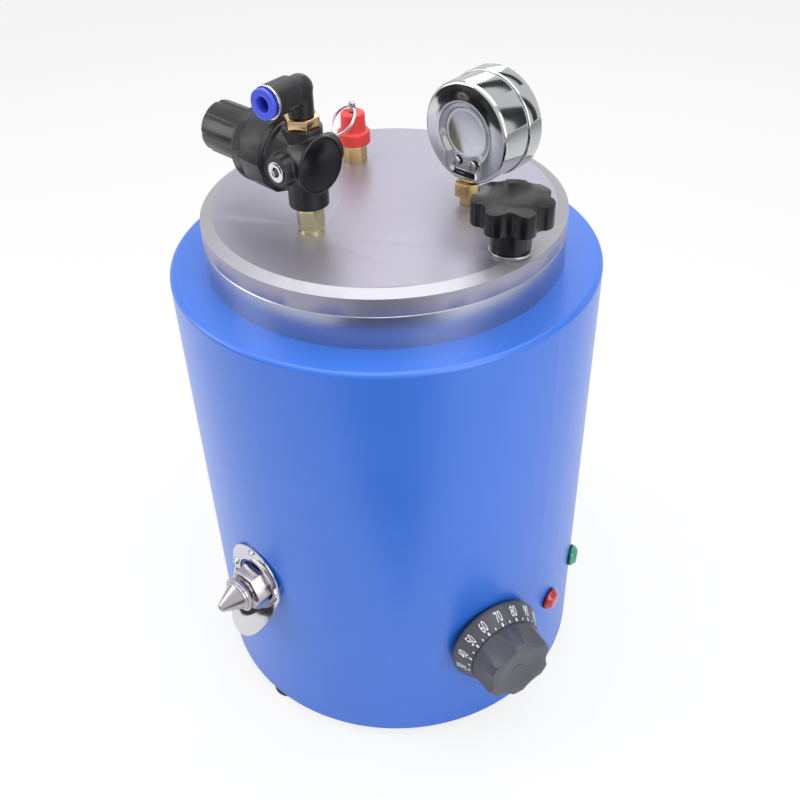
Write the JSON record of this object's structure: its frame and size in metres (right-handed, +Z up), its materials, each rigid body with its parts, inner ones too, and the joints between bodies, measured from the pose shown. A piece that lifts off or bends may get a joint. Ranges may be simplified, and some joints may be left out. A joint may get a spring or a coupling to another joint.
{
  "type": "jewelry wax injector",
  "caption": "Heated wax pot in a round case with a regulator, gauge and safety valve on a bayonet lid, a star knob, a thermostat and a press-to-open nozzle.",
  "frame": {"origin": "on the floor under the pot's axis", "axes": "+Z up along the pot's axis; the nozzle points along -Y, the star knob is on the +X side of the lid"},
  "size_m": [0.2915, 0.2961, 0.4368],
  "materials": {
    "case_paint": "smooth satin blue stove enamel",
    "steel": "zinc-plated steel",
    "polished_steel": "polished stainless steel",
    "chromed_steel": "mirror chrome",
    "nickel_brass": "nickel-plated brass, turned",
    "brass": "bare machined brass",
    "yellow_zinc": "yellow-passivated plating",
    "copper": "bare copper",
    "pot_aluminium": "fine-turned aluminium",
    "lid_aluminium": "satin-blasted aluminium with bright turned edges",
    "black_rubber": "matt rubber",
    "red_silicone": "matt silicone",
    "fibre_wool": "ceramic-fibre wool",
    "black_plastic": "fine-grained black nylon",
    "brown_plastic": "moulded phenolic",
    "dark_grey_plastic": "satin dark grey thermoset",
    "gloss_black_plastic": "glossy black phenolic",
    "blue_plastic": "blue acetal",
    "red_cap": "red anodised aluminium",
    "red_lens": "moulded red acrylic",
    "green_lens": "moulded green acrylic",
    "white_dial": "white enamelled sheet",
    "black_pointer": "black painted sheet",
    "clear_glass": "clear window glass"
  },
  "bodies": {
    "base": {"outer_case": "case_paint", "base_plate": "steel", "rubber_feet": "black_rubber", "foot_screws": "steel", "wax_pot": "pot_aluminium", "flange_screws": "steel", "heater_band": "steel", "insulation_sleeve": "fibre_wool", "thermostat_body": "brown_plastic", "thermostat_sensor": "copper", "lamp_bodies": "black_plastic", "red_lamp_lens": "red_lens", "green_lamp_lens": "green_lens", "power_inlet": "black_plastic", "inlet_pins": "brass", "inlet_screws": "steel", "nozzle_valve_body": "nickel_brass", "nozzle_plate": "polished_steel", "guard_screws": "polished_steel", "nozzle_spring": "steel"},
    "nozzle": {"nozzle_tip": "nickel_brass", "nozzle_needle": "steel"},
    "thermostat_dial": {"thermostat_knob": "dark_grey_plastic", "thermostat_skirt": "dark_grey_plastic", "thermostat_spindle": "steel"},
    "lid_ring": {"lid_gasket": "red_silicone"},
    "lid_group": {"lid": "lid_aluminium", "knob_washer": "steel", "regulator_nipple": "yellow_zinc", "regulator_body": "black_plastic", "regulator_bonnet": "black_plastic", "regulator_end_cap": "black_plastic", "regulator_plugs": "polished_steel", "regulator_diaphragm": "black_rubber", "regulator_spring": "steel", "regulator_poppet": "brass", "regulator_lock_ring": "black_plastic", "elbow_adapter": "yellow_zinc", "valve_base": "brass", "valve_cap": "red_cap", "valve_spring": "steel", "gauge_socket": "brass", "gauge_case": "chromed_steel", "gauge_bezel": "chromed_steel", "gauge_dial": "white_dial", "gauge_lens": "clear_glass", "gauge_screws": "chromed_steel", "bourdon_tube": "brass"},
    "lid_stud": {"knob_stud": "steel"},
    "star_knob": {"lid_knob": "gloss_black_plastic"},
    "adjusting_screw": {"regulator_screw": "steel"},
    "pull_knob": {"regulator_knob": "black_plastic"},
    "elbow": {"elbow_body": "black_plastic", "elbow_ring": "polished_steel"},
    "collet": {"elbow_collet": "blue_plastic"},
    "relief_stem": {"valve_stem": "steel"},
    "relief_ring": {"pull_ring": "polished_steel"},
    "sector": {"gauge_sector": "brass"},
    "pointer": {"gauge_pointer": "black_pointer"}
  },
  "joints": [
    {"name": "nozzle_press", "type": "slide", "parent": "base", "child": "nozzle", "axis": [0, 1, 0], "range_m": [0, 0.003], "stiffness_N_per_m": 1500, "springref_m": -0.004, "deforming": ["nozzle_spring"]},
    {"name": "thermostat_turn", "type": "hinge", "parent": "base", "child": "thermostat_dial", "pos_m": [0.136, -0.04366, 0.089], "axis": [0.9521, -0.3057, 0], "range_deg": [-150, 120]},
    {"name": "lid_turn", "type": "hinge", "parent": "base", "child": "lid_ring", "pos_m": [0, 0, 0.335], "axis": [0, 0, 1], "range_deg": [0, 55]},
    {"name": "lid_lift", "type": "slide", "parent": "lid_ring", "child": "lid_group", "axis": [0, 0, 1], "range_m": [0, 0.06]},
    {"name": "lid_knob_rise", "type": "slide", "parent": "lid_group", "child": "lid_stud", "axis": [0, 0, 1], "range_m": [0, 0.00375]},
    {"name": "lid_knob_turn", "type": "hinge", "parent": "lid_stud", "child": "star_knob", "pos_m": [0.094, 0, 0.36], "axis": [0, 0, 1], "range_deg": [0, 1080]},
    {"name": "regulator_turn", "type": "hinge", "parent": "lid_group", "child": "adjusting_screw", "pos_m": [-0.0546, -0.0531, 0.3895], "axis": [-1, 0, 0], "range_deg": [-1080, 1080]},
    {"name": "regulator_pull", "type": "slide", "parent": "adjusting_screw", "child": "pull_knob", "axis": [-1, 0, 0], "range_m": [0, 0.003]},
    {"name": "elbow_swivel", "type": "hinge", "parent": "lid_group", "child": "elbow", "pos_m": [-0.0046, -0.0531, 0.42], "axis": [0, 0, 1], "continuous": true},
    {"name": "collet_press", "type": "slide", "parent": "elbow", "child": "collet", "axis": [-0.1045, 0.9945, 0], "range_m": [0, 0.001], "stiffness_N_per_m": 200, "springref_m": -0.001},
    {"name": "relief_lift", "type": "slide", "parent": "lid_group", "child": "relief_stem", "axis": [0, 0, 1], "range_m": [0, 0.0025], "stiffness_N_per_m": 500, "springref_m": -0.004, "deforming": ["valve_spring"]},
    {"name": "ring_swing", "type": "hinge", "parent": "relief_stem", "child": "relief_ring", "pos_m": [-0.05059, 0.02655, 0.3827], "axis": [-0.9593, 0.2823, 0], "range_deg": [0, 105]},
    {"name": "sector_turn", "type": "hinge", "parent": "lid_group", "child": "sector", "pos_m": [0.04139, 0.035, 0.37538], "axis": [0, 1, 0], "range_deg": [0, 22.5]},
    {"name": "pointer_turn", "type": "hinge", "parent": "lid_group", "child": "pointer", "pos_m": [0.04139, 0.035, 0.3911], "axis": [0, -1, 0], "range_deg": [0, 270]}
  ],
  "couplings": [
    {"joint": "lid_knob_turn", "follows": "lid_knob_rise", "rad_per_m": 5026.5},
    {"joint": "pointer_turn", "follows": "sector_turn", "ratio": 12}
  ]
}
